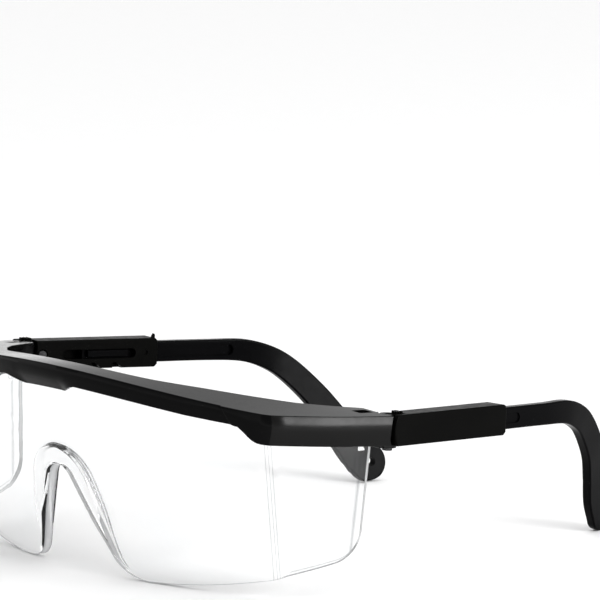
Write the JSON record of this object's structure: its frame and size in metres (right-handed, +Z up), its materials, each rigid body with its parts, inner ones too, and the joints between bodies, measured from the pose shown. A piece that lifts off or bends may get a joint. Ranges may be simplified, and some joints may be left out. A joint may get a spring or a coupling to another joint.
{
  "type": "safety glasses",
  "caption": "Clear wraparound safety glasses with a black brow frame and temples that fold, tilt and slide in length.",
  "frame": {"origin": "centre of the bounding box at the level the glasses rest on: the lens's lower edge and the two temple tips", "axes": "+Z up; -Y the way the lens faces; +X towards the wearer's left"},
  "size_m": [0.1582, 0.156, 0.0552],
  "materials": {
    "clear_lens": "clear polished polycarbonate",
    "gloss_black": "gloss moulded nylon",
    "satin_black": "satin moulded nylon",
    "satin_black_arm": "semi-gloss moulded nylon",
    "steel_pin": "dark steel"
  },
  "bodies": {
    "front": {"lens": "clear_lens", "brow_frame": "gloss_black", "hinge_pin_left": "steel_pin", "hinge_pin_right": "steel_pin"},
    "block_left": {"hinge_block_left": "satin_black", "tilt_pin_left": "steel_pin"},
    "sleeve_left": {"temple_sleeve_left": "satin_black"},
    "arm_left": {"temple_arm_left": "satin_black_arm"},
    "block_right": {"hinge_block_right": "satin_black", "tilt_pin_right": "steel_pin"},
    "sleeve_right": {"temple_sleeve_right": "satin_black"},
    "arm_right": {"temple_arm_right": "satin_black_arm"}
  },
  "joints": [
    {"name": "fold_left", "type": "hinge", "parent": "front", "child": "block_left", "pos_m": [0.07485, -0.02545, 0.04207], "axis": [0, 0.0628, 0.998], "range_deg": [-2, 75]},
    {"name": "tilt_left", "type": "hinge", "parent": "block_left", "child": "sleeve_left", "pos_m": [0.07509, -0.01997, 0.04172], "axis": [0.9903, 0.1389, -0.0087], "range_deg": [-8, 8]},
    {"name": "slide_left", "type": "slide", "parent": "sleeve_left", "child": "arm_left", "axis": [-0.1392, 0.9883, -0.0622], "range_m": [-0.0078, 0.0009]},
    {"name": "fold_right", "type": "hinge", "parent": "front", "child": "block_right", "pos_m": [-0.07485, -0.02545, 0.04207], "axis": [0, -0.0628, -0.998], "range_deg": [-2, 82]},
    {"name": "tilt_right", "type": "hinge", "parent": "block_right", "child": "sleeve_right", "pos_m": [-0.07509, -0.01997, 0.04172], "axis": [0.9903, -0.1389, 0.0087], "range_deg": [-8, 8]},
    {"name": "slide_right", "type": "slide", "parent": "sleeve_right", "child": "arm_right", "axis": [0.1392, 0.9883, -0.0622], "range_m": [-0.0078, 0.0009]}
  ]
}
